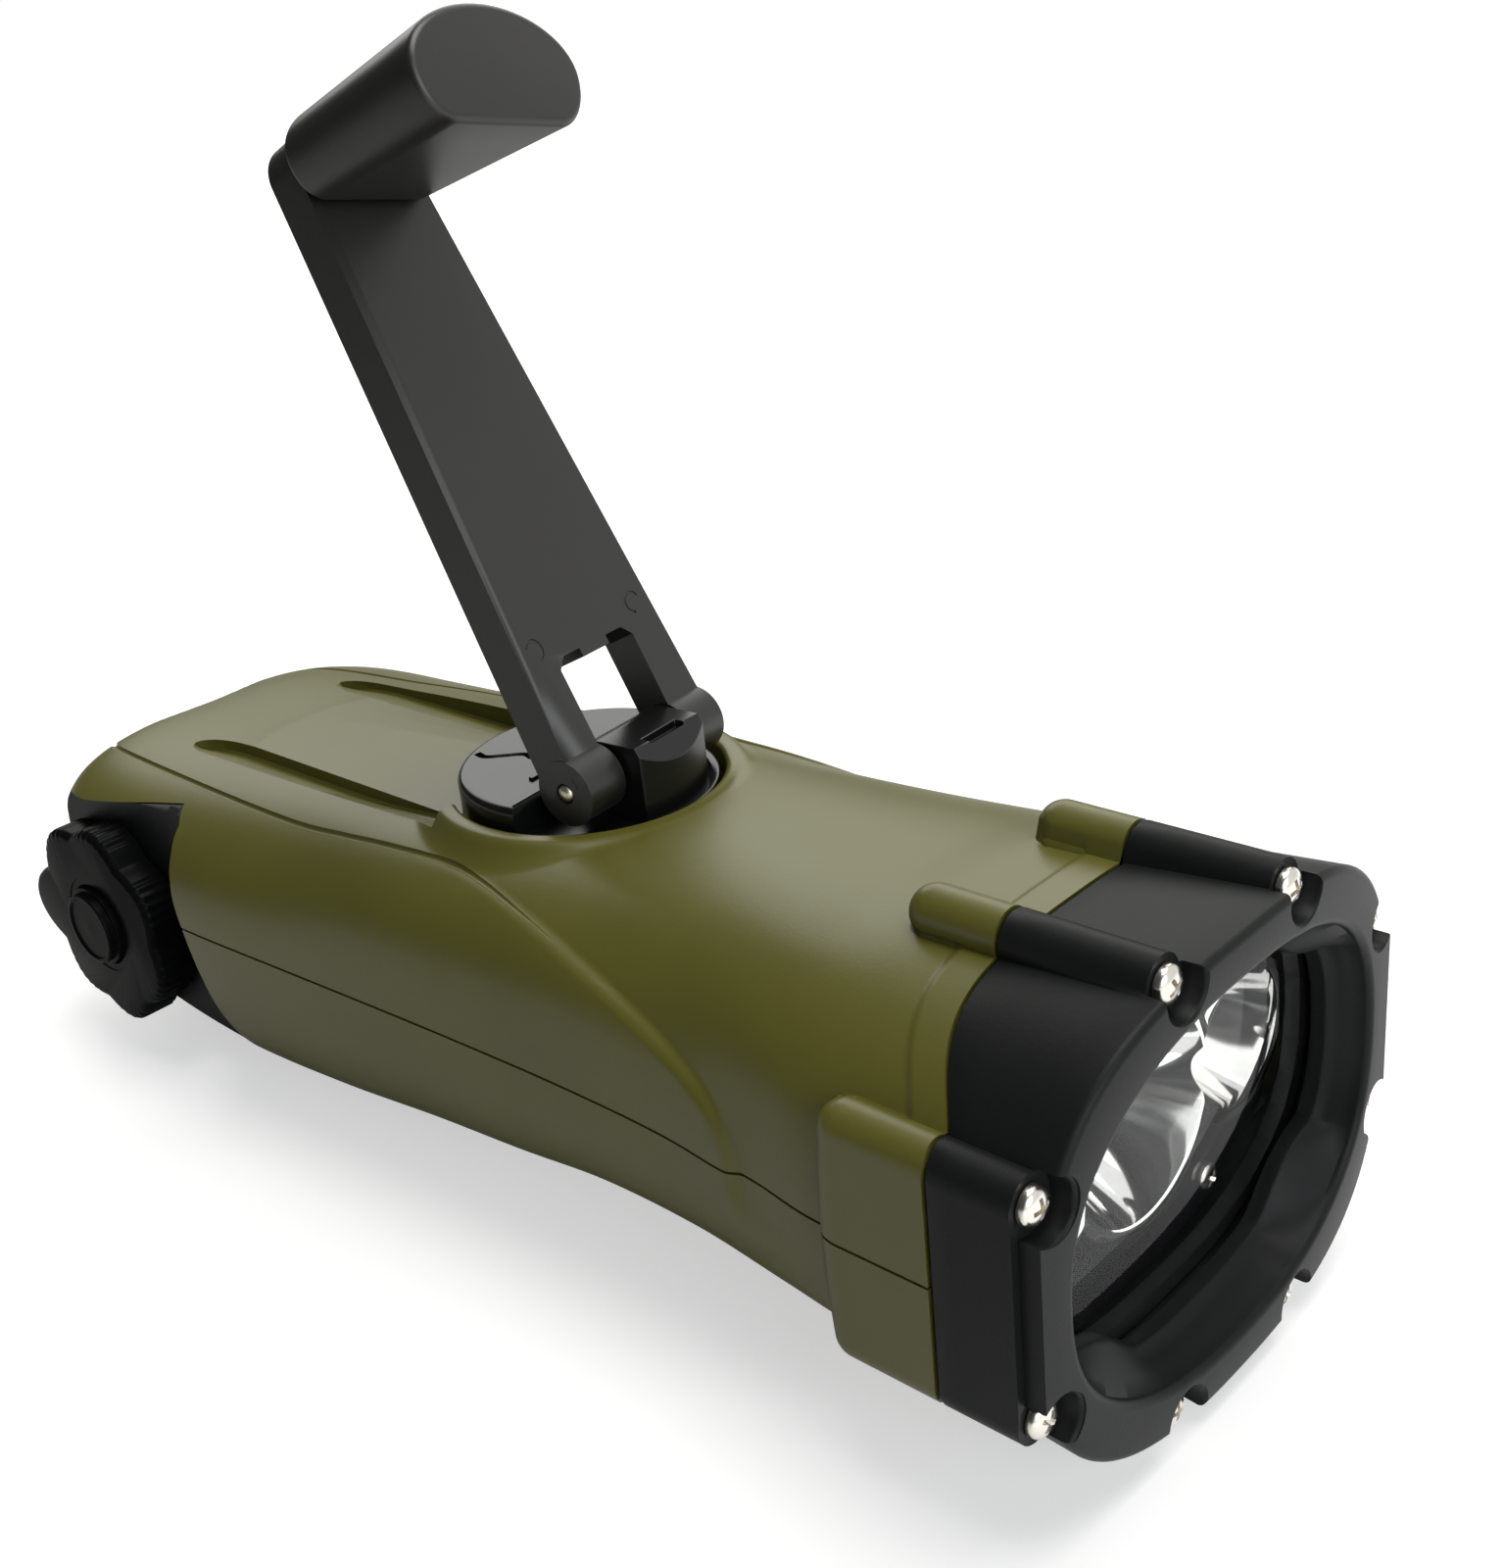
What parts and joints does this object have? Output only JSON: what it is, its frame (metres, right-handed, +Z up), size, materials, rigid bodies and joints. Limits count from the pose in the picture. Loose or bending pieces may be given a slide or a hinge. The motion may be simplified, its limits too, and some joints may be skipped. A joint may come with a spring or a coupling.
{
  "type": "hand crank flashlight",
  "caption": "Olive and black hand torch with a forked folding crank on its back, an oval front with lamps in mirror cups, and a lobed side switch with a push button.",
  "frame": {"origin": "on the ground under the middle of the flashlight's length and width", "axes": "+X to the lens, +Z up out of the deck, -Y to the side switch"},
  "size_m": [0.16, 0.06, 0.121],
  "materials": {
    "olive_plastic": "fine satin texture",
    "black_plastic": "satin",
    "black_gloss": "glossy",
    "screw_metal": "nickel plated",
    "pin_metal": "plain drawn pin",
    "mirror_coat": "vacuum plated mirror",
    "clear_window": "clear, polished",
    "lamp_clear": "clear dome with a yellow die",
    "white_plastic": "moulded",
    "plain_steel": "turned",
    "cell_steel": "plated can",
    "board": "solder mask",
    "seal_rubber": "moulded"
  },
  "bodies": {
    "body": {"battery_1": "cell_steel", "battery_2": "cell_steel", "battery_3": "cell_steel", "bezel": "black_plastic", "bezel_screw_1": "screw_metal", "bezel_screw_2": "screw_metal", "bezel_screw_3": "screw_metal", "bezel_screw_4": "screw_metal", "bezel_screw_5": "screw_metal", "bezel_screw_6": "screw_metal", "bezel_screw_7": "screw_metal", "bezel_screw_8": "screw_metal", "circuit_board": "board", "contact_board": "board", "dynamo_case": "plain_steel", "gear_plate": "white_plastic", "idler_axle": "plain_steel", "led_1": "lamp_clear", "led_2": "lamp_clear", "led_3": "lamp_clear", "led_board": "board", "lens": "clear_window", "lens_gasket": "seal_rubber", "lower_shell": "olive_plastic", "plate_screw_1": "screw_metal", "plate_screw_2": "screw_metal", "reflector": "mirror_coat", "reflector_plate": "black_gloss", "shell_screw_1": "screw_metal", "shell_screw_2": "screw_metal", "shell_screw_3": "screw_metal", "shell_screw_4": "screw_metal", "switch_housing": "black_gloss", "upper_shell": "olive_plastic"},
    "hub": {"crank_hub": "black_gloss", "hinge_pin": "pin_metal", "hub_screw": "screw_metal", "drive_gear": "white_plastic"},
    "arm": {"crank_arm": "black_plastic"},
    "grip": {"crank_grip": "black_plastic", "grip_axle": "plain_steel"},
    "idler": {"idler_gear": "white_plastic"},
    "rotor": {"dynamo_rotor": "plain_steel"},
    "knob": {"mode_knob": "black_gloss"},
    "button": {"push_button": "black_gloss"}
  },
  "joints": [
    {"name": "crank_turn", "type": "hinge", "parent": "body", "child": "hub", "pos_m": [0, 0, 0.0243], "axis": [0, 0, 1], "continuous": true},
    {"name": "arm_fold", "type": "hinge", "parent": "hub", "child": "arm", "pos_m": [0.00677, 0.00069, 0.0461], "axis": [-0.1011, 0.9949, 0], "range_deg": [-48, 88]},
    {"name": "grip_spin", "type": "hinge", "parent": "arm", "child": "grip", "pos_m": [-0.02289, -0.00232, 0.10588], "axis": [0.9307, 0.0945, 0.3535], "continuous": true},
    {"name": "idler_turn", "type": "hinge", "parent": "body", "child": "idler", "pos_m": [0.0216, 0, 0.0243], "axis": [0, 0, 1], "continuous": true},
    {"name": "rotor_turn", "type": "hinge", "parent": "body", "child": "rotor", "pos_m": [0.0408, 0, 0.0243], "axis": [0, 0, 1], "continuous": true},
    {"name": "mode_turn", "type": "hinge", "parent": "body", "child": "knob", "pos_m": [-0.0646, -0.0234, 0.0177], "axis": [0, 1, 0], "range_deg": [-45, 45]},
    {"name": "button_push", "type": "slide", "parent": "knob", "child": "button", "axis": [0, 1, 0], "range_m": [0, 0.0012], "stiffness_N_per_m": 600}
  ],
  "couplings": [
    {"joint": "idler_turn", "follows": "crank_turn", "ratio": -3.5},
    {"joint": "rotor_turn", "follows": "crank_turn", "ratio": 13.3}
  ]
}
